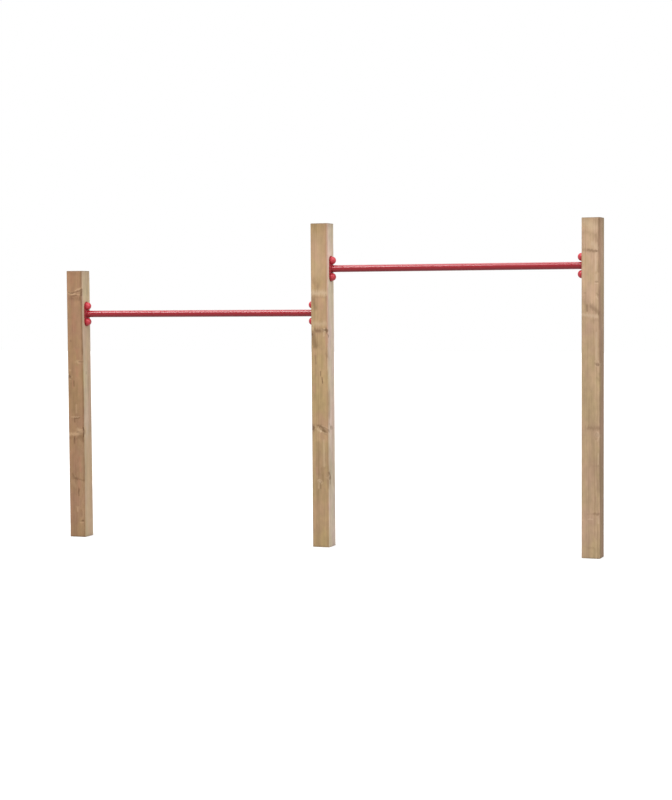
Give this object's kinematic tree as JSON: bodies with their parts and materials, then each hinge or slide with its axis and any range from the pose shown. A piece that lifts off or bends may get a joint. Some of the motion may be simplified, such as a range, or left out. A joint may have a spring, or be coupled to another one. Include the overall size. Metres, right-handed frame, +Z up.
{
  "type": "climbing frame",
  "caption": "Children's climbing frame: square timber posts in a row carry a low and a high red steel bar on flanges that are screwed on under domed caps.",
  "frame": {"origin": "centre of the middle post's foot, on the ground plane", "axes": "+X along the bars from the low bar to the high bar, +Z up along the posts, +Y across the row away from the side seen in the picture"},
  "size_m": [2.764, 0.088, 1.58],
  "materials": {
    "timber": "planed, pressure-treated softwood, slightly weathered",
    "red_coat": "glossy red powder coat on steel",
    "red_plastic": "moulded red plastic, satin gloss",
    "zinc_steel": "zinc-plated steel"
  },
  "bodies": {
    "root": {"high_bar_left_flange": "red_coat", "high_bar_left_lower_cap": "red_plastic", "high_bar_left_lower_cap_base": "red_plastic", "high_bar_left_lower_screw": "zinc_steel", "high_bar_left_lower_washer": "zinc_steel", "high_bar_left_upper_cap": "red_plastic", "high_bar_left_upper_cap_base": "red_plastic", "high_bar_left_upper_screw": "zinc_steel", "high_bar_left_upper_washer": "zinc_steel", "high_bar_left_weld": "red_coat", "high_bar_right_flange": "red_coat", "high_bar_right_lower_cap": "red_plastic", "high_bar_right_lower_cap_base": "red_plastic", "high_bar_right_lower_screw": "zinc_steel", "high_bar_right_lower_washer": "zinc_steel", "high_bar_right_upper_cap": "red_plastic", "high_bar_right_upper_cap_base": "red_plastic", "high_bar_right_upper_screw": "zinc_steel", "high_bar_right_upper_washer": "zinc_steel", "high_bar_right_weld": "red_coat", "high_bar_tube": "red_coat", "left_post": "timber", "low_bar_left_flange": "red_coat", "low_bar_left_lower_cap": "red_plastic", "low_bar_left_lower_cap_base": "red_plastic", "low_bar_left_lower_screw": "zinc_steel", "low_bar_left_lower_washer": "zinc_steel", "low_bar_left_upper_cap": "red_plastic", "low_bar_left_upper_cap_base": "red_plastic", "low_bar_left_upper_screw": "zinc_steel", "low_bar_left_upper_washer": "zinc_steel", "low_bar_left_weld": "red_coat", "low_bar_right_flange": "red_coat", "low_bar_right_lower_cap": "red_plastic", "low_bar_right_lower_cap_base": "red_plastic", "low_bar_right_lower_screw": "zinc_steel", "low_bar_right_lower_washer": "zinc_steel", "low_bar_right_upper_cap": "red_plastic", "low_bar_right_upper_cap_base": "red_plastic", "low_bar_right_upper_screw": "zinc_steel", "low_bar_right_upper_washer": "zinc_steel", "low_bar_right_weld": "red_coat", "low_bar_tube": "red_coat", "middle_post": "timber", "right_post": "timber"}
  },
  "joints": []
}
